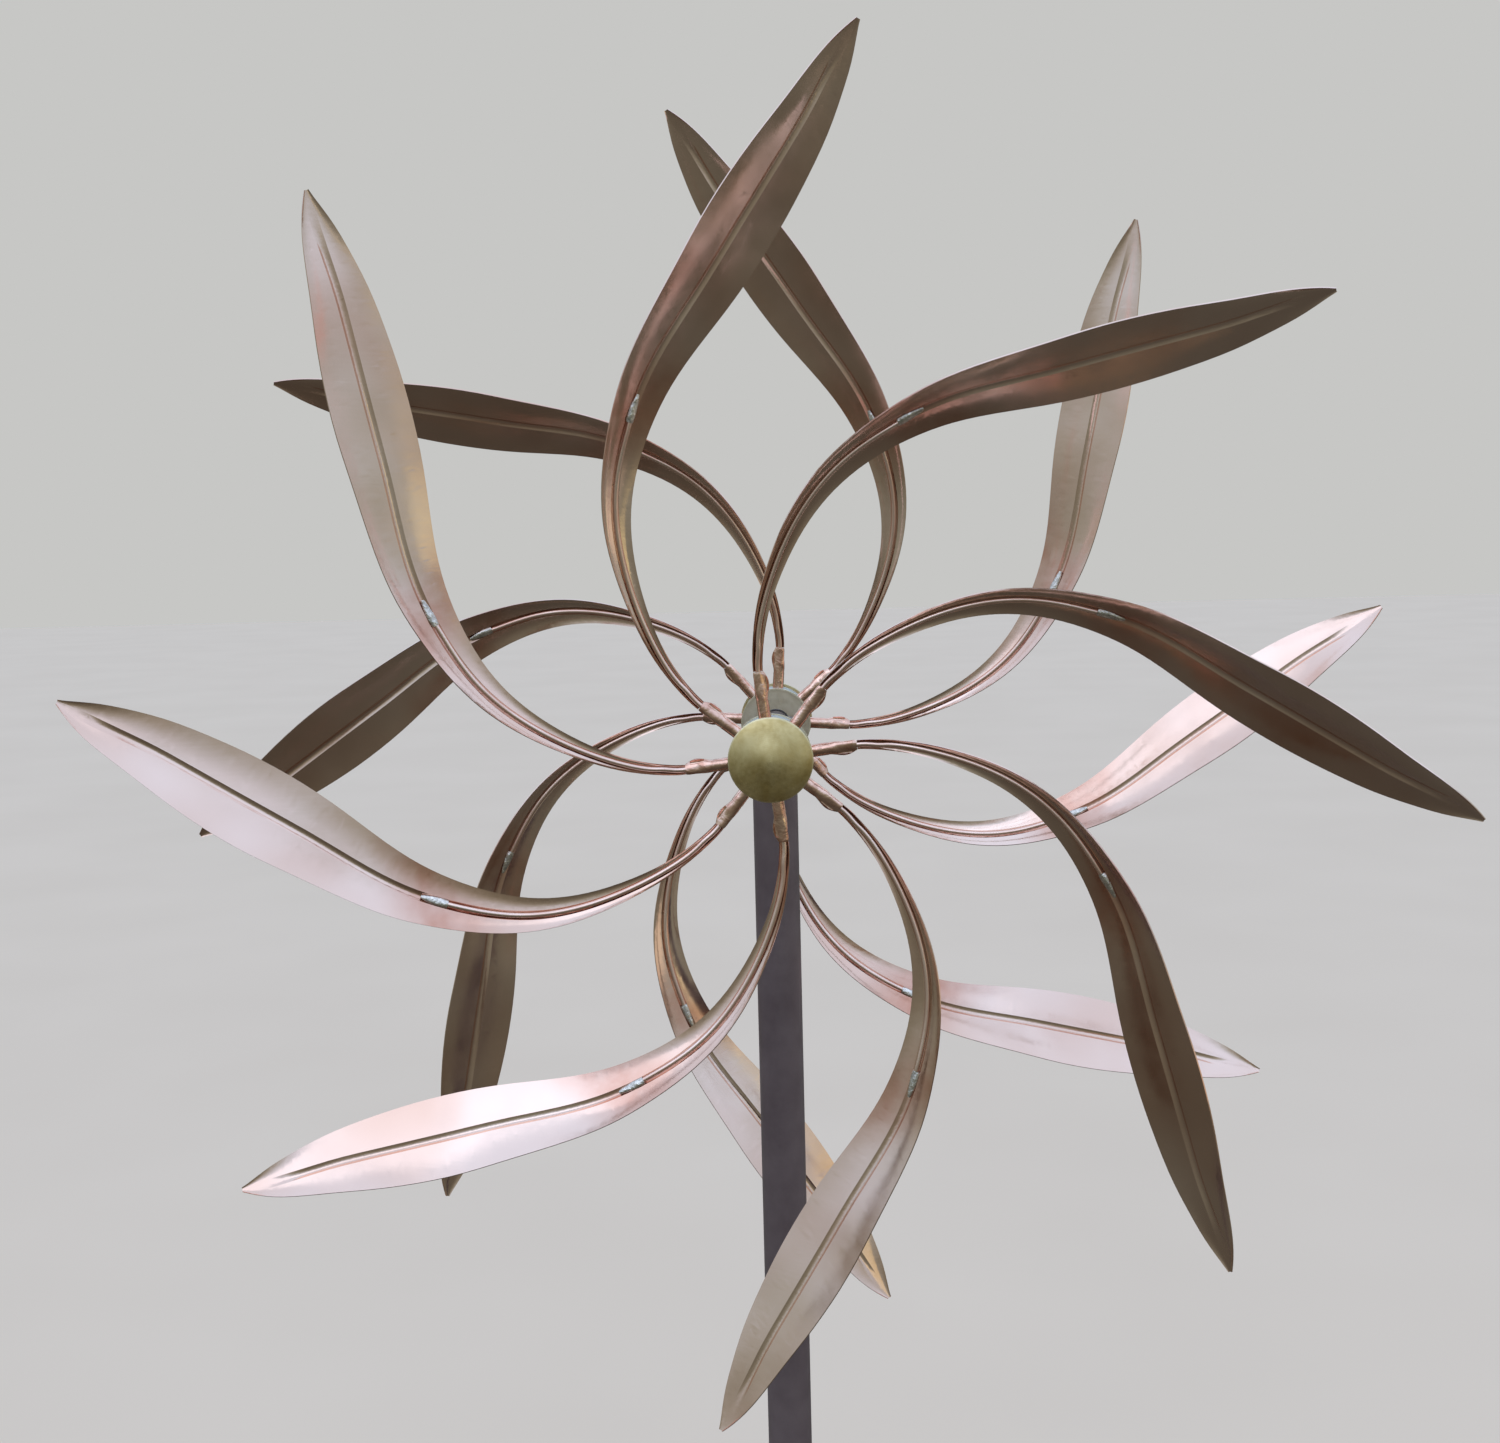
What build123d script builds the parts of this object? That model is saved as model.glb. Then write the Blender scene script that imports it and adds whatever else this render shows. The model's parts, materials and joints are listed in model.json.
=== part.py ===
from build123d import *
import math
import os

# Wind spinner: two leaf rotors turning in opposite directions on one fixed axle, carried by
# a sectional pole with a forked ground stake.  +Z up, the front of the spinner faces -Y.
# Origin: underside of the stake's step bar, on the pole's axis.  Millimetres.

# --- layout ---
AXIS_HEIGHT = 1200.0        # rotor axis above the ground line
HUB_GAP = 118.0             # between the two facing hub discs
ARMS = 8
ARM_STEP = 360.0 / ARMS

# --- hub ---
CORE_RADIUS = 17.2
CORE_DEPTH = 22.0
ARM_DEPTH = 11.0            # from the dome's rim plane to the sockets' axes
BEARING_RADIUS = 11.0
BEARING_WIDTH = 7.0
BEARING_START = CORE_DEPTH - 2 * BEARING_WIDTH
RECESS_RADIUS = 9.5
AXLE_RADIUS = 4.0
INNER_RING_RADIUS = 5.3
OUTER_RING_BORE = 9.6
SHIELD_BORE = 5.8
SHIELD_THICKNESS = 0.4
BALL_RADIUS = 1.98
BALL_COUNT = 7
BALL_PITCH_RADIUS = OUTER_RING_BORE - BALL_RADIUS - 0.02
DOME_RADIUS = 18.4
DOME_HEIGHT = 5.6
DOME_SKIRT = 2.2
DOME_WALL = 1.0
DISC_RADIUS = 17.6
DISC_THICKNESS = 1.2
DISC_HOLE = 7.3
DISC_LIP = 0.5
WASHER_RADIUS = 5.5
WASHER_THICKNESS = 1.2
NUT_FLATS = 13.0
NUT_THICKNESS = 4.5
AXLE_END_MARGIN = 1.1

# --- sockets ---
SOCKET_RADIUS = 2.8
SOCKET_SEAT_GAP = 0.02
SOCKET_BORE = 2.0
SOCKET_START = 12.3
CRIMP_START = 25.0
CRIMP_END = 37.5
CRIMP_PITCH = 25.0
SCOOP_RADIUS = 1.1
SCOOP_START = 29.0
SCOOP_END = 35.2
SCOOP_SIDE = 2.3
SCOOP_LIFT = 1.35
# radius against half-width and half-thickness of the pinch, and its shift to the lip's side
CRIMP_SECTIONS = [(24.5, 2.6, 2.6, 0.0), (26.5, 2.8, 2.45, 0.15), (28.5, 3.1, 2.2, 0.4),
                  (32.0, 3.45, 1.85, 0.85), (35.0, 3.1, 1.75, 0.6), (37.5, 2.3, 1.65, 0.1)]

# --- stem rods and solder ---
ROD_RADIUS = 1.1
ROD_START = 20.0
ROD_END = 152.0
ROD_LIFT = 0.45             # rod axis above the leaf's flat
ROD_SEAT_GAP = 0.1
SOLDER_LENGTH = 9.0
SOLDER_GAP = 0.08
# share of the drop's length against its half-width and height
SOLDER_SECTIONS = [(0.0, 1.7, 1.5), (0.18, 2.0, 1.55), (0.45, 1.9, 1.25), (0.75, 1.4, 0.8),
                   (1.0, 0.6, 0.3)]

# --- leaves ---
LEAF_START = 37.7
LEAF_THICKNESS = 0.7
GROOVE_HALF = 2.1
GROOVE_DEPTH = 1.15
NECK_GROOVE_HALF = 1.6
NECK_GROOVE_DEPTH = 0.95
EDGE_RISE = 1.5
LEAF_PITCH_START = 14.0
# radius from the axis against half-width of the leaf
LEAF_HALF_WIDTHS = [(37.7, 2.1), (60, 2.7), (90, 4.3), (120, 7.0), (150, 10.5), (180, 14.9),
                    (203, 18.0), (220, 18.8), (240, 17.5), (268, 12.6), (288, 6.9), (300, 1.0)]
# radius against backward sweep in degrees, and against forward lean
ARM_SWEEP = [(37.5, 0.0), (40.5, 0.3), (60, 4.5), (80, 9.5), (120, 19.4), (160, 32.0), (200, 44.5),
             (250, 53.6), (300, 58.7)]
ARM_LEAN = [(37.5, 0.0), (40.5, 0.1), (60, 1.7), (80, 4.0), (120, 9.6), (160, 14.4), (200, 18.0),
            (250, 21.8), (300, 25.4)]
# hand-bent scatter of the arms, by rotor: turn, tilt, reach and pitch of each leaf
FRONT_PHASE = 7.4
FRONT_TURN = [2.1, 0.6, 0.3, -1.7, -1.3, -0.1, -0.7, 0.8]
FRONT_TILT = [-0.013, 0.008, 0.001, 0.025, 0.005, -0.02, 0.029, -0.001]
FRONT_REACH = [-0.02, -0.003, 0.001, 0.019, 0.011, 0.003, 0.001, -0.016]
FRONT_PITCH = [50, 47, 48, 44, 43, 24, 40, 46]
REAR_PHASE = -4.45
REAR_TURN = [-0.8, -0.6, -0.1, 0.4, -0.3, 0.6, -1.0, 0.7]
REAR_TILT = [-0.009, -0.004, -0.012, 0.01, -0.005, 0.007, -0.024, 0.008]
REAR_REACH = [0.0, 0.009, -0.004, -0.006, -0.009, 0.012, -0.006, 0.012]
REAR_PITCH = [42, 35, 46, 24, 40, 35, 36, 41]

# --- pole, axle housing and stake ---
POLE_RADIUS = 10.65
POLE_WALL = 1.6
POLE_TOP = 8.0              # pole end above the rotor axis
JOINT_HEIGHT = 600.0
NECK_LENGTH = 55.0
NECK_GAP = 0.1
CAP_THICKNESS = 1.0
CAP_SKIRT = 1.3
HOUSING_RADIUS = 6.5
HOUSING_END_RADIUS = 5.2
HOUSING_END = 2.5
SCREW_RADIUS = 2.4
SCREW_HEAD_RADIUS = 4.5
SCREW_HEAD = 2.6
SCREW_DEPTH = 8.0
SCREW_HEIGHTS = [50.0, JOINT_HEIGHT + 25.0]
BAR_LENGTH = 120.0
BAR_WIDTH = 25.0
BAR_THICKNESS = 6.0
SPIGOT_LENGTH = 90.0
PRONG_RADIUS = 4.0
PRONG_LENGTH = 230.0
PRONG_POINT = 28.0
PRONG_OFFSET = 50.0
PRONG_SEAT = 4.5            # depth of the prong's blind hole in the step bar
PRONG_SEAT_GAP = 0.03

HUB_FACE = HUB_GAP / 2
RIM_PLANE = HUB_FACE + DISC_THICKNESS + CORE_DEPTH
ARM_PLANE = RIM_PLANE - ARM_DEPTH
POLE_BORE = POLE_RADIUS - POLE_WALL


def table(pairs, x):
    """Smooth curve through the pairs: cubic pieces with finite-difference slopes."""
    last = len(pairs) - 1
    if x <= pairs[0][0]:
        return pairs[0][1]
    if x >= pairs[last][0]:
        return pairs[last][1]
    i = max(k for k in range(last) if pairs[k][0] <= x)

    def slope(k):
        low = max(k - 1, 0)
        high = min(k + 1, last)
        return (pairs[high][1] - pairs[low][1]) / (pairs[high][0] - pairs[low][0])

    width = pairs[i + 1][0] - pairs[i][0]
    t = (x - pairs[i][0]) / width
    return ((2 * t**3 - 3 * t**2 + 1) * pairs[i][1] + (t**3 - 2 * t**2 + t) * width * slope(i)
            + (3 * t**2 - 2 * t**3) * pairs[i + 1][1] + (t**3 - t**2) * width * slope(i + 1))


def ramp(x, low, high):
    t = min(max((x - low) / (high - low), 0.0), 1.0)
    return t * t * (3 - 2 * t)


class Arm:
    """One arm in its own frame: socket along +X, swept towards -Z (hand 1) or +Z (hand -1)."""

    def __init__(self, hand, turn, tilt, reach, pitch):
        self.hand = hand
        self.turn = turn
        self.tilt = tilt
        self.reach = reach
        self.pitch = pitch

    def centre(self, radius):
        free = ramp(radius, CRIMP_END, 110.0)
        angle = math.radians(table(ARM_SWEEP, radius) - self.hand * self.turn * free)
        far = radius * (1 + self.reach * free)
        depth = (self.tilt * (radius - CRIMP_END) * free) - table(ARM_LEAN, radius)
        return Vector(far * math.cos(angle), depth, -far * math.sin(angle))

    def frame(self, radius):
        """Centre, direction across the leaf towards its convex edge, and the leaf's front normal."""
        along = (self.centre(radius + 0.5) - self.centre(radius - 0.5)).normalized()
        convex = along.cross(Vector(0, 1, 0)).normalized()
        front = along.cross(convex).normalized()
        pitch = LEAF_PITCH_START + (self.pitch - LEAF_PITCH_START) * ramp(radius, 40.0, 150.0)
        c = math.cos(math.radians(pitch))
        s = math.sin(math.radians(pitch))
        return self.centre(radius), convex * c + front * s, front * c - convex * s

    def point(self, radius, across, up):
        centre, side, normal = self.frame(radius)
        p = centre + side * across + normal * up
        return Vector(p.X, p.Y, self.hand * p.Z)


def section_sizes(radius):
    half = table(LEAF_HALF_WIDTHS, radius)
    opened = ramp(radius, 70.0, 140.0)
    wide = NECK_GROOVE_HALF + (GROOVE_HALF - NECK_GROOVE_HALF) * opened
    deep = NECK_GROOVE_DEPTH + (GROOVE_DEPTH - NECK_GROOVE_DEPTH) * opened
    groove = min(wide, 0.42 * half) if radius > 100 else wide
    depth = deep * (1 - 0.86 * ramp(radius, 272.0, 292.0)) * groove / wide
    rise = EDGE_RISE * min(1.0, 0.22 + half / 9.0)
    return half, groove, depth, min(rise, 0.45 * half)


def leaf_section(arm, radius):
    half, groove, depth, rise = section_sizes(radius)
    mid = (groove + half) / 2
    lift = rise * ((mid - groove) / (half - groove))**2
    shapes = []
    for drop in (0.0, -LEAF_THICKNESS):
        left = [arm.point(radius, u, v + drop) for u, v in
                ((-half, rise), (-mid, lift), (-groove, 0.0))]
        dip = [arm.point(radius, u, v + drop) for u, v in
               ((-groove, 0.0), (-groove * 0.5, -depth * 0.7), (0.0, -depth),
                (groove * 0.5, -depth * 0.7), (groove, 0.0))]
        right = [arm.point(radius, u, v + drop) for u, v in
                 ((groove, 0.0), (mid, lift), (half, rise))]
        shapes.append((left, dip, right))
    top, low = shapes
    edges = [Edge.make_spline(row) for row in top]
    edges.append(Edge.make_line(top[2][-1], low[2][-1]))
    edges += [Edge.make_spline(row[::-1]) for row in (low[2], low[1], low[0])]
    edges.append(Edge.make_line(low[0][0], top[0][0]))
    return Wire(edges)


def make_leaf(arm):
    stations = [LEAF_START, 42, 50, 65, 82, 100, 120, 140, 152, 166, 182, 198, 214, 230, 246, 262,
                276, 287, 295, 300]
    return Solid.make_loft([leaf_section(arm, r) for r in stations])


def make_rod(arm):
    wires = []
    for radius in [ROD_START, 26, 32, 36, LEAF_START, 42, 50, 65, 82, 100, 120, 140, ROD_END]:
        ring = []
        for k in range(8):
            a = math.radians(45.0 * k)
            ring.append(arm.point(radius, ROD_RADIUS * math.cos(a),
                                  ROD_LIFT + ROD_RADIUS * math.sin(a)))
        wires.append(Wire([Edge.make_spline(ring, periodic=True)]))
    return Solid.make_loft(wires)


def make_solder(arm):
    """Solder that closes the rod's end onto the leaf: a drop lying in the groove."""
    wires = []
    for share, wide, tall in SOLDER_SECTIONS:
        radius = ROD_END + 0.05 + SOLDER_LENGTH * share
        half, groove, depth, rise = section_sizes(radius)
        rim = SOLDER_GAP + 0.1 - 0.7 * depth * (1 - (wide / groove)**2)
        floor = SOLDER_GAP + 0.1 - 0.7 * depth * (1 - (0.6 * wide / groove)**2)
        pts = [arm.point(radius, u, v) for u, v in
               ((-wide, rim), (-wide * 0.72, tall * 0.72), (0.0, tall),
                (wide * 0.72, tall * 0.72), (wide, rim))]
        base = [arm.point(radius, u, v) for u, v in
                ((wide, rim), (wide * 0.6, floor), (0.0, -depth + 0.3), (-wide * 0.6, floor),
                 (-wide, rim))]
        wires.append(Wire([Edge.make_spline(pts), Edge.make_spline(base)]))
    return Solid.make_loft(wires)


def make_socket(arm):
    """Copper tube that leaves the hub radially and is pinched flat round the stem, with the
    spare wall folded up into an open lip on the concave side."""
    rod = arm.point(CRIMP_END - 5, 0.0, ROD_LIFT)
    wires = []
    for radius, wide, thick, shift in CRIMP_SECTIONS:
        blend = ramp(radius, CRIMP_SECTIONS[0][0], 31.0)
        side, normal = crimp_frame(arm, blend)
        ring_points = []
        for k in range(12):
            a = math.radians(30.0 * k)
            ring_points.append(Vector(radius, rod.Y * blend, rod.Z * blend)
                               + side * (wide * math.cos(a) - shift * blend)
                               + normal * (thick * math.sin(a)))
        wires.append(Wire([Edge.make_spline(ring_points, periodic=True)]))
    body = Solid.make_loft(wires)
    body += along_x(SOCKET_RADIUS - SOCKET_SEAT_GAP, SOCKET_START, CRIMP_START, 0, 0)
    body -= along_x(SOCKET_BORE, SOCKET_START - 1, CRIMP_START - 1, 0, 0)
    body -= along_x(ROD_RADIUS + ROD_SEAT_GAP, CRIMP_START - 2, CRIMP_END + 1, rod.Y, rod.Z)
    side, normal = crimp_frame(arm, 1.0)
    scoop = normal * SCOOP_LIFT - side * SCOOP_SIDE
    body -= along_x(SCOOP_RADIUS, SCOOP_START, SCOOP_END, rod.Y + scoop.Y, rod.Z + scoop.Z)
    return body


def crimp_frame(arm, blend):
    """Directions across the pinch, towards the convex side, and out of its front."""
    tilt = math.radians(CRIMP_PITCH * blend)
    side = Vector(0, -math.sin(tilt), math.cos(tilt) * arm.hand)
    normal = Vector(0, -math.cos(tilt), -math.sin(tilt) * arm.hand)
    return side, normal


def along_x(radius, start, end, y, z):
    """Cylinder along +X between two distances."""
    return Plane(origin=(start, y, z), z_dir=(1, 0, 0)) * Cylinder(
        radius, end - start, align=(Align.CENTER, Align.CENTER, Align.MIN))


def ring(outer, inner, start, end):
    """Ring round the axle between two distances along +Y."""
    plane = Plane(origin=(0, start, 0), z_dir=(0, 1, 0))
    body = plane * Cylinder(outer, end - start, align=(Align.CENTER, Align.CENTER, Align.MIN))
    if inner:
        body -= plane * Cylinder(inner, end - start,
                                 align=(Align.CENTER, Align.CENTER, Align.MIN))
    return body


def make_core(phase):
    """Turned hub core, dome side at y = 0, with radial holes for the sockets."""
    core = ring(CORE_RADIUS, RECESS_RADIUS, 0.0, CORE_DEPTH)
    core -= ring(BEARING_RADIUS, 0, BEARING_START, CORE_DEPTH)
    for k in range(ARMS):
        hole = Plane(origin=(SOCKET_START, 0, 0), z_dir=(1, 0, 0)) * Cylinder(
            SOCKET_RADIUS, CORE_RADIUS, align=(Align.CENTER, Align.CENTER, Align.MIN))
        core -= Pos(0, ARM_DEPTH, 0) * Rot(0, -(phase + k * ARM_STEP), 0) * hole
    return core


def make_dome():
    """Domed hub cap, rim plane at y = 0, apex towards -Y."""
    def profile(drop, reach):
        return [(reach, 0.0), (reach * 0.86, -DOME_HEIGHT * 0.26 + drop * 0.9),
                (reach * 0.55, -DOME_HEIGHT * 0.60 + drop), (reach * 0.25, -DOME_HEIGHT * 0.88 + drop),
                (0.0, -DOME_HEIGHT + drop)]
    outer = [Vector(r, y, 0) for r, y in profile(0.0, DOME_RADIUS)]
    inner = [Vector(r, y, 0) for r, y in profile(DOME_WALL, CORE_RADIUS)]
    edges = [Edge.make_spline(outer),
             Edge.make_line(outer[-1], inner[-1]),
             Edge.make_spline(inner[::-1]),
             Edge.make_line(inner[0], Vector(CORE_RADIUS, DOME_SKIRT, 0)),
             Edge.make_line(Vector(CORE_RADIUS, DOME_SKIRT, 0), Vector(DOME_RADIUS, DOME_SKIRT, 0)),
             Edge.make_line(Vector(DOME_RADIUS, DOME_SKIRT, 0), outer[0])]
    return revolve(Face(Wire(edges)), Axis.Y, 360)


def make_disc():
    disc = ring(DISC_RADIUS, DISC_HOLE, CORE_DEPTH, CORE_DEPTH + DISC_THICKNESS)
    lip_start = CORE_DEPTH + DISC_THICKNESS
    disc += ring(DISC_RADIUS, DISC_RADIUS - 0.9, lip_start, lip_start + DISC_LIP)
    return disc


def bearing_starts():
    return [BEARING_START, BEARING_START + BEARING_WIDTH]


def make_outer_rings():
    rings = []
    for start in bearing_starts():
        end = start + BEARING_WIDTH
        body = ring(BEARING_RADIUS, OUTER_RING_BORE, start, end)
        body += ring(OUTER_RING_BORE, SHIELD_BORE, start, start + SHIELD_THICKNESS)
        body += ring(OUTER_RING_BORE, SHIELD_BORE, end - SHIELD_THICKNESS, end)
        rings.append(body)
    return Compound(rings)


def make_inner_rings():
    return Compound([ring(INNER_RING_RADIUS, AXLE_RADIUS, s, s + BEARING_WIDTH)
                     for s in bearing_starts()])


def make_balls():
    balls = []
    for start in bearing_starts():
        for k in range(BALL_COUNT):
            a = 2 * math.pi * k / BALL_COUNT
            balls.append(Pos(BALL_PITCH_RADIUS * math.cos(a), start + BEARING_WIDTH / 2,
                             BALL_PITCH_RADIUS * math.sin(a)) * Sphere(BALL_RADIUS))
    return Compound(balls)


def make_washer():
    return ring(WASHER_RADIUS, AXLE_RADIUS, BEARING_START - WASHER_THICKNESS, BEARING_START)


def make_nut():
    top = BEARING_START - WASHER_THICKNESS
    plane = Plane(origin=(0, top - NUT_THICKNESS, 0), z_dir=(0, 1, 0))
    corner = NUT_FLATS / math.sqrt(3)
    nut = extrude(plane * RegularPolygon(corner, 6), NUT_THICKNESS)
    nut -= ring(AXLE_RADIUS, 0, top - NUT_THICKNESS, top)
    return nut


def at_front(shape):
    """Hub piece moved to the front rotor, dome towards -Y."""
    return Pos(0, -RIM_PLANE, AXIS_HEIGHT) * shape


def at_rear(shape):
    """Hub piece turned about the vertical and moved to the rear rotor, dome towards +Y."""
    return Pos(0, RIM_PLANE, AXIS_HEIGHT) * Rot(0, 0, 180) * shape


def make_axle():
    end = RIM_PLANE - (BEARING_START - WASHER_THICKNESS - NUT_THICKNESS) + AXLE_END_MARGIN
    rod = ring(AXLE_RADIUS, 0, -end, end)
    rod = chamfer(rod.edges().filter_by(GeomType.CIRCLE), 0.5)
    return Pos(0, 0, AXIS_HEIGHT) * rod


def make_housing():
    end = RIM_PLANE - CORE_DEPTH
    body = ring(HOUSING_RADIUS, 0, -end + HOUSING_END, end - HOUSING_END)
    body += ring(HOUSING_END_RADIUS, 0, -end, end)
    body -= ring(AXLE_RADIUS, 0, -end, end)
    return Pos(0, 0, AXIS_HEIGHT) * body


def upright(radius, low, high):
    return Pos(0, 0, low) * Cylinder(radius, high - low,
                                     align=(Align.CENTER, Align.CENTER, Align.MIN))


def screw_hole(height):
    """Clearance hole in the -X wall."""
    return Pos(0, 0, height) * Rot(0, -90, 0) * Cylinder(
        SCREW_RADIUS, POLE_RADIUS + 1, align=(Align.CENTER, Align.CENTER, Align.MIN))


def make_pole_upper():
    top = AXIS_HEIGHT + POLE_TOP
    pole = upright(POLE_RADIUS, JOINT_HEIGHT, top) - upright(POLE_BORE, JOINT_HEIGHT, top)
    pole -= Pos(0, 0, AXIS_HEIGHT) * ring(HOUSING_RADIUS, 0, -POLE_RADIUS - 1, POLE_RADIUS + 1)
    return pole - screw_hole(SCREW_HEIGHTS[1])


def make_pole_lower():
    neck = POLE_BORE - NECK_GAP
    top = JOINT_HEIGHT + NECK_LENGTH
    pole = upright(POLE_RADIUS, BAR_THICKNESS, JOINT_HEIGHT)
    pole += upright(neck, JOINT_HEIGHT, top)
    pole -= upright(POLE_BORE, BAR_THICKNESS, JOINT_HEIGHT - 12)
    pole -= upright(neck - POLE_WALL, BAR_THICKNESS, top)
    for height in SCREW_HEIGHTS:
        pole -= screw_hole(height)
    return pole


def make_pole_cap():
    top = AXIS_HEIGHT + POLE_TOP
    cap = upright(POLE_RADIUS, top, top + CAP_THICKNESS)
    cap = fillet(cap.edges().sort_by(Axis.Z)[-1:], 0.6)
    return cap + upright(POLE_BORE, top - CAP_SKIRT, top)


def make_screw(height):
    reach = POLE_RADIUS
    shank = Pos(-reach, 0, height) * Rot(0, 90, 0) * Cylinder(
        SCREW_RADIUS, SCREW_DEPTH - 4, align=(Align.CENTER, Align.CENTER, Align.MIN))
    head = Pos(-reach - 0.15, 0, height) * Rot(0, -90, 0) * Cylinder(
        SCREW_HEAD_RADIUS, SCREW_HEAD, align=(Align.CENTER, Align.CENTER, Align.MIN))
    head = fillet(head.edges().sort_by(Axis.X)[:1], 0.9)
    neck = Pos(-reach - 0.15, 0, height) * Rot(0, 90, 0) * Cylinder(
        SCREW_RADIUS, 0.5, align=(Align.CENTER, Align.CENTER, Align.MIN))
    slot = Pos(-reach - SCREW_HEAD, 0, height) * Box(1.8, 1.0, 2 * SCREW_HEAD_RADIUS)
    return head + neck + shank - slot


def make_fork_bar():
    bar = Box(BAR_LENGTH, BAR_WIDTH, BAR_THICKNESS, align=(Align.CENTER, Align.CENTER, Align.MIN))
    bar = fillet(bar.edges().filter_by(Axis.Z), 5.0)
    bar = chamfer(bar.edges().group_by(Axis.Z)[-1], 0.6)
    for x in (-PRONG_OFFSET, PRONG_OFFSET):
        bar -= Pos(x, 0, 0) * upright(PRONG_RADIUS + PRONG_SEAT_GAP, 0, PRONG_SEAT)
    return bar


def make_spigot():
    rod = upright(POLE_BORE - NECK_GAP, BAR_THICKNESS, BAR_THICKNESS + SPIGOT_LENGTH)
    rod = chamfer(rod.edges().group_by(Axis.Z)[-1], 1.5)
    return rod - screw_hole(SCREW_HEIGHTS[0])


def make_prong(x):
    shaft = Pos(x, 0, 0) * upright(PRONG_RADIUS, PRONG_POINT - PRONG_LENGTH, PRONG_SEAT)
    point = Pos(x, 0, -(PRONG_LENGTH - PRONG_POINT)) * Rot(180, 0, 0) * Cone(
        PRONG_RADIUS, 0.6, PRONG_POINT, align=(Align.CENTER, Align.CENTER, Align.MIN))
    return shaft + point


def place_arm(shape, plane_y, angle):
    return Pos(0, plane_y, AXIS_HEIGHT) * Rot(0, -angle, 0) * shape


def make_rotor(name, hand, plane_y, phase, turns, tilts, reaches, pitches, place):
    parts = {
        f"{name}_hub_core": place(make_core(phase if hand == 1 else 180 - phase)),
        f"{name}_dome": place(make_dome()),
        f"{name}_disc": place(make_disc()),
        f"{name}_bearing_outers": place(make_outer_rings()),
        f"{name}_bearing_balls": place(make_balls()),
        f"{name}_bearing_inners": place(make_inner_rings()),
    }
    sockets = []
    drops = []
    for k in range(ARMS):
        arm = Arm(hand, turns[k], tilts[k], reaches[k], pitches[k])
        angle = phase + k * ARM_STEP
        sockets.append(place_arm(make_socket(arm), plane_y, angle))
        drops.append(place_arm(make_solder(arm), plane_y, angle))
        parts[f"{name}_leaf_{k + 1}"] = place_arm(make_leaf(arm), plane_y, angle)
        parts[f"{name}_stem_{k + 1}"] = place_arm(make_rod(arm), plane_y, angle)
    parts[f"{name}_sockets"] = Compound(sockets)
    parts[f"{name}_solder"] = Compound(drops)
    return parts


def build():
    parts = {
        "fork_bar": make_fork_bar(),
        "fork_spigot": make_spigot(),
        "fork_prongs": Compound([make_prong(-PRONG_OFFSET), make_prong(PRONG_OFFSET)]),
        "pole_lower": make_pole_lower(),
        "pole_upper": make_pole_upper(),
        "pole_cap": make_pole_cap(),
        "pole_screws": Compound([make_screw(h) for h in SCREW_HEIGHTS]),
        "axle_housing": make_housing(),
        "axle": make_axle(),
        "axle_washers": Compound([at_front(make_washer()), at_rear(make_washer())]),
        "axle_nuts": Compound([at_front(make_nut()), at_rear(make_nut())]),
    }
    parts.update(make_rotor("front", 1, -ARM_PLANE, FRONT_PHASE, FRONT_TURN, FRONT_TILT,
                            FRONT_REACH, FRONT_PITCH, at_front))
    parts.update(make_rotor("rear", -1, ARM_PLANE, REAR_PHASE, REAR_TURN, REAR_TILT,
                            REAR_REACH, REAR_PITCH, at_rear))
    return parts


os.makedirs("parts", exist_ok=True)
for node, shape in build().items():
    export_step(shape, f"parts/{node}.step")
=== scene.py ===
import json
import math

import bpy
from mathutils import Matrix, Vector


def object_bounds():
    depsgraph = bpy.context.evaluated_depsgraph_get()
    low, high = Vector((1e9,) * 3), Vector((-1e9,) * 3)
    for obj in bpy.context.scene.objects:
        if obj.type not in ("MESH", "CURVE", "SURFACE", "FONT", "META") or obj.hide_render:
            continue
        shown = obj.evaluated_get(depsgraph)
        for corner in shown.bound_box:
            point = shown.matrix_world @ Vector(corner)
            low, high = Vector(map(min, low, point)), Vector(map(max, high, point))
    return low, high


# Wind spinner: the finishes of its copper leaves, brass caps and coated pole, with a studio
# round it.  Metres, +Z up, the front of the spinner faces -Y.

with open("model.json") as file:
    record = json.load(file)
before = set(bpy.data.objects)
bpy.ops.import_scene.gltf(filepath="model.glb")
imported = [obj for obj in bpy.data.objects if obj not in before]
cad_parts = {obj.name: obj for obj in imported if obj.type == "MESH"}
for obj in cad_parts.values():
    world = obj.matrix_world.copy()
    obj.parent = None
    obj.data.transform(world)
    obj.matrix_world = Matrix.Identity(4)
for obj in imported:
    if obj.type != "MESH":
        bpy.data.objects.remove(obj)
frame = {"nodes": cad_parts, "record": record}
nodes = frame["nodes"]
cad_low, cad_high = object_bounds()

MM = 0.001
AXLE = (0.0, 0.0, 1.2)
SOLDER_RADIUS = 0.157       # of the solder drops, from the axle
HEAT_REACH = 0.024          # of the heat bloom, either side of the solder
DOME_RIM = 0.0184
DISC_RIM = 0.0176
RIM_HIGHLIGHT_WIDTH = 0.7 * MM     # of the painted highlight at a rim
SCOUR_TURNS = (0.5, 2.2)    # of the two ways of scouring, in radians
SCOUR_STEP_MM = 1.2
SCOUR_LENGTH_MM = 40
LATHE_RING_MM = 0.8
TOOL_MARK_MM = 0.6
NOISE_LOW = 0.33            # a noise texture's usual range
NOISE_HIGH = 0.67
MIX_FACTOR, MIX_FIRST, MIX_SECOND, MIX_COLOUR = 0, 6, 7, 2


def paint(code):
    """Linear colour from an sRGB hex code."""
    channels = [int(code[k:k + 2], 16) / 255 for k in (1, 3, 5)]
    return [c / 12.92 if c <= 0.04045 else ((c + 0.055) / 1.055) ** 2.4 for c in channels] + [1.0]


def per_metre(size_mm):
    """Texture scale of a pattern whose features are this far apart."""
    return 1.0 / (size_mm * MM)


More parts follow.
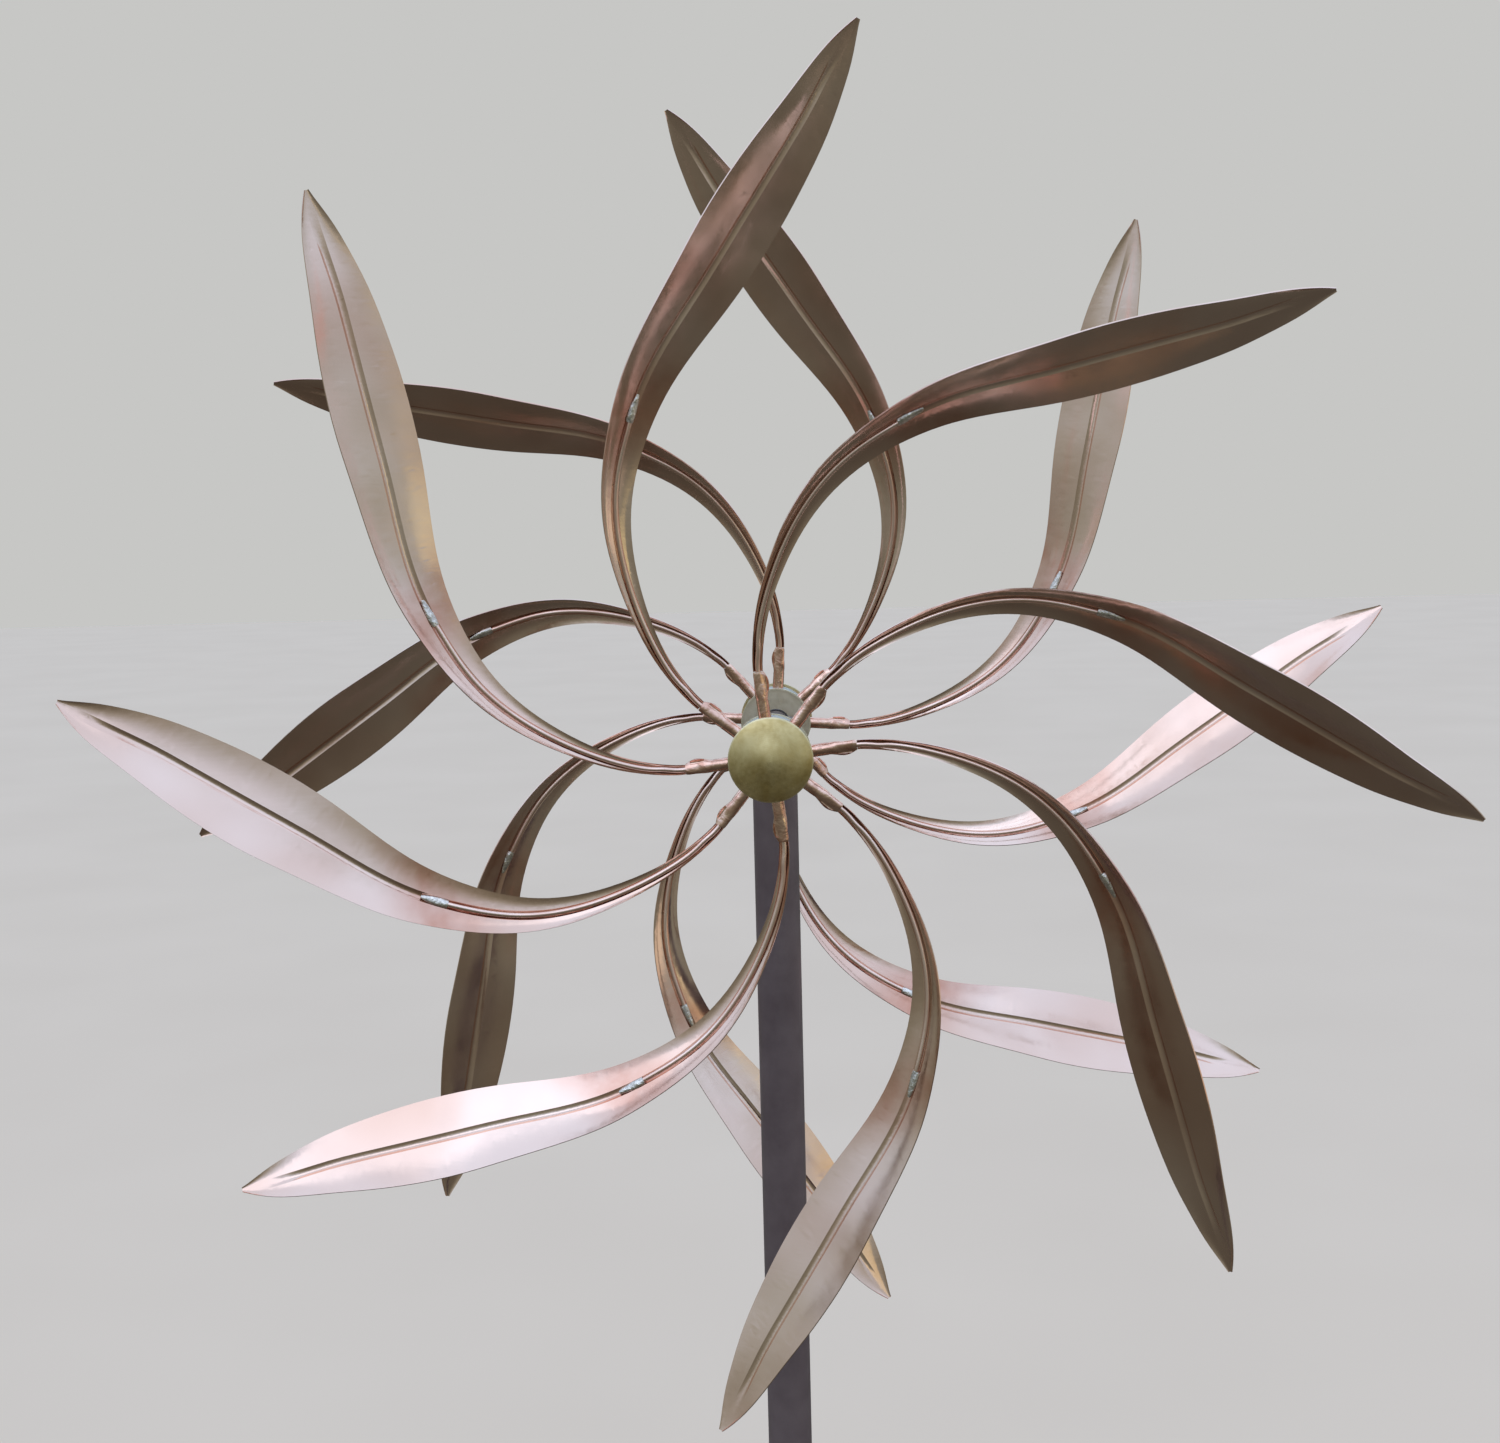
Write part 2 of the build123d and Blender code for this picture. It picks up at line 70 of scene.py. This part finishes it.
def add(tree, kind, inputs=None, stops=(), **settings):
    """Adds a node with its settings, links and ramp stops, and gives its outputs."""
    node = tree.nodes.new(kind)
    for name, value in settings.items():
        setattr(node, name, value)
    for key, value in (inputs or {}).items():
        if isinstance(value, bpy.types.NodeSocket):
            tree.links.new(value, node.inputs[key])
        else:
            node.inputs[key].default_value = value
    for k, (place, code) in enumerate(stops):
        elements = node.color_ramp.elements
        element = elements[k] if k < len(elements) else elements.new(place)
        element.position = place
        element.color = paint(code)
    return node.outputs


def start_material(name):
    """A material with an empty tree, and a point's place on the part."""
    material = bpy.data.materials.new(name)
    material.use_nodes = True
    tree = material.node_tree
    tree.nodes.clear()
    return material, tree, add(tree, "ShaderNodeTexCoord")["Object"]


def from_axle(tree, place):
    """Distance of a point from the rotors' axis."""
    offset = add(tree, "ShaderNodeVectorMath", {0: place, 1: AXLE}, operation="SUBTRACT")[0]
    flat = add(tree, "ShaderNodeVectorMath", {0: offset, 1: (1.0, 0.0, 1.0)},
               operation="MULTIPLY")[0]
    return add(tree, "ShaderNodeVectorMath", {0: flat}, operation="LENGTH")["Value"]


# --- copper ---

def satin_copper(name, fresh, browned, heated, rough, wave_mm):
    """Rolled copper, scoured by hand to a satin: wide soft reflections, broken by the waves of
    bending, faint scouring lines both ways, and a redder heat bloom where the solder went on."""
    material, tree, place = start_material(name)
    bloom = add(tree, "ShaderNodeTexNoise",
                {"Vector": place, "Scale": per_metre(70), "Detail": 2.0, "Distortion": 0.3})["Fac"]
    tone = add(tree, "ShaderNodeValToRGB", {"Fac": bloom},
               stops=[(NOISE_LOW, fresh), (NOISE_HIGH, browned)])["Color"]
    off_solder = add(tree, "ShaderNodeMath", {0: from_axle(tree, place), 1: SOLDER_RADIUS},
                     operation="SUBTRACT")[0]
    off_solder = add(tree, "ShaderNodeMath", {0: off_solder}, operation="ABSOLUTE")[0]
    flame = add(tree, "ShaderNodeTexNoise",
                {"Vector": place, "Scale": per_metre(11), "Detail": 3.0})["Fac"]
    heat = add(tree, "ShaderNodeMapRange",
               {"Value": off_solder, "From Min": HEAT_REACH, "From Max": 0.0, "To Max": 0.9},
               interpolation_type="SMOOTHSTEP")["Result"]
    heat = add(tree, "ShaderNodeMath", {0: heat, 1: flame}, operation="MULTIPLY")[0]
    tone = add(tree, "ShaderNodeMix", {MIX_FACTOR: heat, MIX_FIRST: tone,
                                       MIX_SECOND: paint(heated)}, data_type="RGBA")[MIX_COLOUR]
    smear = add(tree, "ShaderNodeTexNoise",
                {"Vector": place, "Scale": per_metre(18), "Detail": 3.0})["Fac"]
    roughness = add(tree, "ShaderNodeMapRange",
                    {"Value": smear, "From Min": NOISE_LOW, "From Max": NOISE_HIGH,
                     "To Min": rough - 0.04, "To Max": rough + 0.07})["Result"]
    wave = add(tree, "ShaderNodeTexNoise",
               {"Vector": place, "Scale": per_metre(38), "Detail": 0.0})["Fac"]
    normal = add(tree, "ShaderNodeBump", {"Height": wave, "Distance": wave_mm * MM})["Normal"]
    for turn in SCOUR_TURNS:
        # lines 1.2 mm apart and 40 mm long: real ones are a tenth of that, too fine to show
        along = add(tree, "ShaderNodeMapping",
                    {"Vector": place, "Rotation": (0.0, turn, 0.0),
                     "Scale": (per_metre(SCOUR_LENGTH_MM), per_metre(SCOUR_LENGTH_MM),
                               per_metre(SCOUR_STEP_MM))})["Vector"]
        lines = add(tree, "ShaderNodeTexNoise", {"Vector": along, "Scale": 1.0,
                                                 "Detail": 2.0})["Fac"]
        normal = add(tree, "ShaderNodeBump", {"Height": lines, "Distance": 0.006 * MM,
                                              "Normal": normal})["Normal"]
    shader = add(tree, "ShaderNodeBsdfPrincipled",
                 {"Base Color": tone, "Metallic": 1.0, "Roughness": roughness,
                  "Normal": normal})["BSDF"]
    add(tree, "ShaderNodeOutputMaterial", {"Surface": shader})
    return material


def drawn_copper():
    """Drawn copper rod: pinker and cleaner than the sheet, with a soft sheen along it."""
    material, tree, place = start_material("drawn_copper_rod")
    tarnish = add(tree, "ShaderNodeTexNoise",
                  {"Vector": place, "Scale": per_metre(24), "Detail": 3.0})["Fac"]
    tone = add(tree, "ShaderNodeValToRGB", {"Fac": tarnish},
               stops=[(NOISE_LOW, "#F6DACE"), (NOISE_HIGH, "#E6C2B2")])["Color"]
    roughness = add(tree, "ShaderNodeMapRange",
                    {"Value": tarnish, "From Min": NOISE_LOW, "From Max": NOISE_HIGH,
                     "To Min": 0.24, "To Max": 0.34})["Result"]
    shader = add(tree, "ShaderNodeBsdfPrincipled",
                 {"Base Color": tone, "Metallic": 1.0, "Roughness": roughness})["BSDF"]
    add(tree, "ShaderNodeOutputMaterial", {"Surface": shader})
    return material


def pinched_copper():
    """Copper tube pinched in a press: bright where the jaws closed, browner in the folds."""
    material, tree, place = start_material("pinched_copper_tube")
    jaws = add(tree, "ShaderNodeTexNoise",
               {"Vector": place, "Scale": per_metre(5), "Detail": 3.0, "Distortion": 0.5})["Fac"]
    tone = add(tree, "ShaderNodeValToRGB", {"Fac": jaws},
               stops=[(NOISE_LOW, "#F2CDBB"), (NOISE_HIGH, "#CF9F8B")])["Color"]
    roughness = add(tree, "ShaderNodeMapRange",
                    {"Value": jaws, "From Min": NOISE_LOW, "From Max": NOISE_HIGH,
                     "To Min": 0.12, "To Max": 0.24})["Result"]
    normal = add(tree, "ShaderNodeBump", {"Height": jaws, "Distance": 0.5 * MM})["Normal"]
    shader = add(tree, "ShaderNodeBsdfPrincipled",
                 {"Base Color": tone, "Metallic": 1.0, "Roughness": roughness,
                  "Normal": normal})["BSDF"]
    add(tree, "ShaderNodeOutputMaterial", {"Surface": shader})
    return material


# --- solder, brass, aluminium, steel ---

def tin_solder():
    """Tin solder, dull silver, frozen in lumps."""
    material, tree, place = start_material("tin_solder")
    lump = add(tree, "ShaderNodeTexNoise",
               {"Vector": place, "Scale": per_metre(2.6), "Detail": 3.0, "Roughness": 0.7})["Fac"]
    tone = add(tree, "ShaderNodeValToRGB", {"Fac": lump},
               stops=[(0.3, "#AFA9A2"), (0.7, "#F5F0EA"), (0.55, "#E1DBD4")])["Color"]
    roughness = add(tree, "ShaderNodeMapRange",
                    {"Value": lump, "From Min": NOISE_LOW, "From Max": NOISE_HIGH,
                     "To Min": 0.42, "To Max": 0.22})["Result"]
    normal = add(tree, "ShaderNodeBump", {"Height": lump, "Distance": 0.7 * MM})["Normal"]
    shader = add(tree, "ShaderNodeBsdfPrincipled",
                 {"Base Color": tone, "Metallic": 1.0, "Roughness": roughness,
                  "Normal": normal})["BSDF"]
    add(tree, "ShaderNodeOutputMaterial", {"Surface": shader})
    return material


def dull_brass(name, bright, khaki, rough, rim_radius):
    """Spun brass left to dull outdoors: a khaki bloom in clouds, the lathe's fine rings, and
    a painted highlight: a pale band all round the rim that stands in for the glint on its edge."""
    material, tree, place = start_material(name)
    radius = from_axle(tree, place)
    cloud = add(tree, "ShaderNodeTexNoise",
                {"Vector": place, "Scale": per_metre(13), "Detail": 5.0, "Roughness": 0.6,
                 "Distortion": 0.3})["Fac"]
    tone = add(tree, "ShaderNodeValToRGB", {"Fac": cloud},
               stops=[(NOISE_LOW, bright), (NOISE_HIGH, khaki)])["Color"]
    # painted highlight: a paler colour in a thin band at the rim, in place of the edge's glint
    rim_highlight = add(tree, "ShaderNodeMapRange",
                 {"Value": radius, "From Min": rim_radius - RIM_HIGHLIGHT_WIDTH, "From Max": rim_radius,
                  "To Max": 0.7})["Result"]
    tone = add(tree, "ShaderNodeMix", {MIX_FACTOR: rim_highlight, MIX_FIRST: tone,
                                       MIX_SECOND: paint("#EFE6C4")}, data_type="RGBA")[MIX_COLOUR]
    speck = add(tree, "ShaderNodeTexNoise",
                {"Vector": place, "Scale": per_metre(1.8), "Detail": 3.0})["Fac"]
    roughness = add(tree, "ShaderNodeMapRange",
                    {"Value": speck, "From Min": NOISE_LOW, "From Max": NOISE_HIGH,
                     "To Min": rough - 0.05, "To Max": rough + 0.08})["Result"]
    # lathe rings 0.8 mm apart, coarser than the tool's own so that they show
    ring = add(tree, "ShaderNodeMath", {0: radius, 1: 2 * math.pi * per_metre(LATHE_RING_MM)},
               operation="MULTIPLY")[0]
    ring = add(tree, "ShaderNodeMath", {0: ring}, operation="SINE")[0]
    normal = add(tree, "ShaderNodeBump", {"Height": ring, "Distance": 0.003 * MM})["Normal"]
    normal = add(tree, "ShaderNodeBump", {"Height": speck, "Distance": 0.02 * MM,
                                          "Normal": normal})["Normal"]
    shader = add(tree, "ShaderNodeBsdfPrincipled",
                 {"Base Color": tone, "Metallic": 1.0, "Roughness": roughness,
                  "Normal": normal})["BSDF"]
    add(tree, "ShaderNodeOutputMaterial", {"Surface": shader})
    return material


def turned_aluminium():
    """Aluminium bar turned on a lathe: pale blue grey with fine rings round the axle."""
    material, tree, place = start_material("turned_aluminium")
    along = add(tree, "ShaderNodeMapping",
                {"Vector": place,
                 "Scale": (per_metre(40), per_metre(TOOL_MARK_MM), per_metre(40))})["Vector"]
    tool = add(tree, "ShaderNodeTexNoise", {"Vector": along, "Scale": 1.0, "Detail": 2.0})["Fac"]
    roughness = add(tree, "ShaderNodeMapRange",
                    {"Value": tool, "From Min": NOISE_LOW, "From Max": NOISE_HIGH,
                     "To Min": 0.24, "To Max": 0.38})["Result"]
    normal = add(tree, "ShaderNodeBump", {"Height": tool, "Distance": 0.01 * MM})["Normal"]
    shader = add(tree, "ShaderNodeBsdfPrincipled",
                 {"Base Color": paint("#CBD1D8"), "Metallic": 1.0, "Roughness": roughness,
                  "Normal": normal})["BSDF"]
    add(tree, "ShaderNodeOutputMaterial", {"Surface": shader})
    return material


def steel(name, bright, dull, rough):
    """Steel, zinc plated, ground or blackened: cool grey, with the faint clouds of handling."""
    material, tree, place = start_material(name)
    cloud = add(tree, "ShaderNodeTexNoise",
                {"Vector": place, "Scale": per_metre(3), "Detail": 3.0})["Fac"]
    tone = add(tree, "ShaderNodeValToRGB", {"Fac": cloud},
               stops=[(NOISE_LOW, bright), (NOISE_HIGH, dull)])["Color"]
    roughness = add(tree, "ShaderNodeMapRange",
                    {"Value": cloud, "From Min": NOISE_LOW, "From Max": NOISE_HIGH,
                     "To Min": rough - 0.05, "To Max": rough + 0.08})["Result"]
    shader = add(tree, "ShaderNodeBsdfPrincipled",
                 {"Base Color": tone, "Metallic": 1.0, "Roughness": roughness})["BSDF"]
    add(tree, "ShaderNodeOutputMaterial", {"Surface": shader})
    return material


# --- coats ---

def powder_coat(name, tint, dusty, rough):
    """Baked polyester powder, satin, with orange peel and a little garden dust in clouds."""
    material, tree, place = start_material(name)
    dust = add(tree, "ShaderNodeTexNoise",
               {"Vector": place, "Scale": per_metre(22), "Detail": 5.0, "Roughness": 0.65})["Fac"]
    tone = add(tree, "ShaderNodeValToRGB", {"Fac": dust},
               stops=[(NOISE_LOW, tint), (NOISE_HIGH, dusty)])["Color"]
    roughness = add(tree, "ShaderNodeMapRange",
                    {"Value": dust, "From Min": NOISE_LOW, "From Max": NOISE_HIGH,
                     "To Min": rough - 0.05, "To Max": rough + 0.07})["Result"]
    peel = add(tree, "ShaderNodeTexNoise",
               {"Vector": place, "Scale": per_metre(0.9), "Detail": 1.0})["Fac"]
    normal = add(tree, "ShaderNodeBump", {"Height": peel, "Distance": 0.03 * MM})["Normal"]
    shader = add(tree, "ShaderNodeBsdfPrincipled",
                 {"Base Color": tone, "IOR": 1.5, "Roughness": roughness,
                  "Normal": normal})["BSDF"]
    add(tree, "ShaderNodeOutputMaterial", {"Surface": shader})
    return material


FINISHES = {
    "leaf_copper": satin_copper("satin_copper_sheet", "#EBD0C2", "#DAB7A5", "#B9745A", 0.17, 1.3),
    "stem_copper": drawn_copper(),
    "socket_copper": pinched_copper(),
    "solder": tin_solder(),
    "dome_brass": dull_brass("patinated_brass_dome", "#E2CF9C", "#BDA56C", 0.46, DOME_RIM),
    "disc_brass": dull_brass("dull_brass_disc", "#EFE4D0", "#D8CAB2", 0.45, DISC_RIM),
    "hub_alloy": turned_aluminium(),
    "bearing_steel": steel("ground_bearing_steel", "#D2D4D7", "#A3A6AA", 0.2),
    "zinc_steel": steel("zinc_plated_steel", "#C6C8CA", "#9A9DA1", 0.32),
    "screw_steel": steel("black_oxide_steel", "#6E6C6A", "#514F4D", 0.35),
    "cap_coat": powder_coat("brown_powder_coat_cap", "#4C4145", "#5A4E51", 0.4),
    "housing_coat": powder_coat("brown_powder_coat_housing", "#4C4145", "#5A4E51", 0.4),
    "pole_coat": powder_coat("brown_powder_coat", "#52464A", "#605457", 0.4),
}

for part in frame["record"]["subparts"]:
    for slot in nodes[part["node"]].material_slots:
        slot.material = FINISHES[part["material_slot"]]


# --- camera ---

CAMERA_PLACE = Vector((0.0168, -0.8404, 1.3016))
CAMERA_YAW = math.radians(-1.902)
CAMERA_PITCH = math.radians(6.369)
CAMERA_ROLL = math.radians(-1.428)
CAMERA_LENS_MM = 42.91
CAMERA_SENSOR_MM = 36.0
CAMERA_NEAR = 0.01

forward = Vector((math.sin(CAMERA_YAW) * math.cos(CAMERA_PITCH),
                  math.cos(CAMERA_YAW) * math.cos(CAMERA_PITCH), -math.sin(CAMERA_PITCH)))
level = Vector((math.cos(CAMERA_YAW), -math.sin(CAMERA_YAW), 0.0))
above = level.cross(forward)
right = level * math.cos(CAMERA_ROLL) + above * math.sin(CAMERA_ROLL)
up = above * math.cos(CAMERA_ROLL) - level * math.sin(CAMERA_ROLL)

camera = bpy.data.objects.new("camera", bpy.data.cameras.new("camera"))
camera.data.sensor_width = CAMERA_SENSOR_MM
camera.data.lens = CAMERA_LENS_MM
camera.data.clip_start = CAMERA_NEAR
camera.matrix_world = (Matrix.Translation(CAMERA_PLACE)
                       @ Matrix((right, up, -forward)).transposed().to_4x4())
scene = bpy.context.scene
scene.collection.objects.link(camera)
scene.camera = camera


# --- studio ---

def studio_tent():
    """Light from all round: a wide cool ceiling that fades down pale walls to a dim ground, so
    that metal has something light and something dark to show.  The eye sees a plain wall."""
    world = bpy.data.worlds.new("studio_tent")
    world.use_nodes = True
    tree = world.node_tree
    tree.nodes.clear()
    toward = add(tree, "ShaderNodeTexCoord")["Generated"]
    height = add(tree, "ShaderNodeSeparateXYZ", {"Vector": toward})["Z"]
    rise = add(tree, "ShaderNodeMapRange", {"Value": height, "From Min": -1.0,
                                            "From Max": 1.0})["Result"]
    cloth = add(tree, "ShaderNodeValToRGB", {"Fac": rise},
                stops=[(0.0, "#403F3A"), (1.0, "#CCDEF8"), (0.25, "#4D4D46"), (0.37, "#5D5F56"),
                       (0.5, "#70746A"), (0.587, "#8F9794"), (0.671, "#AABAC8"),
                       (0.75, "#C8DAF4")])["Color"]
    light = add(tree, "ShaderNodeBackground", {"Color": cloth, "Strength": 1.5})[0]
    wall = add(tree, "ShaderNodeBackground", {"Color": paint("#C7C7C5")})[0]
    seen = add(tree, "ShaderNodeLightPath")["Is Camera Ray"]
    both = add(tree, "ShaderNodeMixShader", {"Fac": seen, 1: light, 2: wall})[0]
    add(tree, "ShaderNodeOutputWorld", {"Surface": both})
    return world


def softbox(name, azimuth, elevation, distance, width, height, radiance, tint):
    """Soft panel that faces the hub: azimuth from -Y towards +X, and elevation, in degrees."""
    lamp = bpy.data.lights.new(name, "AREA")
    lamp.shape = "RECTANGLE"
    lamp.size = width
    lamp.size_y = height
    lamp.energy = radiance * math.pi * width * height
    lamp.color = paint(tint)[:3]
    box = bpy.data.objects.new(name, lamp)
    scene.collection.objects.link(box)
    a = math.radians(azimuth)
    e = math.radians(elevation)
    away = Vector((math.sin(a) * math.cos(e), -math.cos(a) * math.cos(e), math.sin(e)))
    box.matrix_world = (Matrix.Translation(Vector(AXLE) + away * distance)
                        @ away.to_track_quat("Z", "Y").to_matrix().to_4x4())


scene.view_settings.view_transform = "Standard"
scene.world = studio_tent()
softbox("key_panel", -30.0, 44.0, 4.6, 4.4, 2.6, 0.6, "#E8F0FF")
softbox("side_panel", 86.0, -3.0, 3.4, 2.4, 0.9, 0.5, "#FFE9D2")
softbox("straw_panel", 46.0, 4.0, 3.0, 1.3, 0.8, 0.5, "#F0E2A0")

FLOOR_HALF = 30.0
floor_mesh = bpy.data.meshes.new("studio_floor")
floor_mesh.from_pydata([(-FLOOR_HALF, -FLOOR_HALF, 0), (FLOOR_HALF, -FLOOR_HALF, 0),
                        (FLOOR_HALF, FLOOR_HALF, 0), (-FLOOR_HALF, FLOOR_HALF, 0)],
                       [], [(0, 1, 2, 3)])
floor = bpy.data.objects.new("studio_floor", floor_mesh)
scene.collection.objects.link(floor)
floor.location.z = cad_low.z
floor.visible_glossy = False
matte, tree, place = start_material("pale_matte_floor")
tread = add(tree, "ShaderNodeTexNoise", {"Vector": place, "Scale": per_metre(900)})["Fac"]
tone = add(tree, "ShaderNodeValToRGB", {"Fac": tread},
           stops=[(NOISE_LOW, "#D7C3AE"), (NOISE_HIGH, "#DAC6B1")])["Color"]
shader = add(tree, "ShaderNodeBsdfPrincipled", {"Base Color": tone, "Roughness": 0.9})["BSDF"]
add(tree, "ShaderNodeOutputMaterial", {"Surface": shader})
floor_mesh.materials.append(matte)
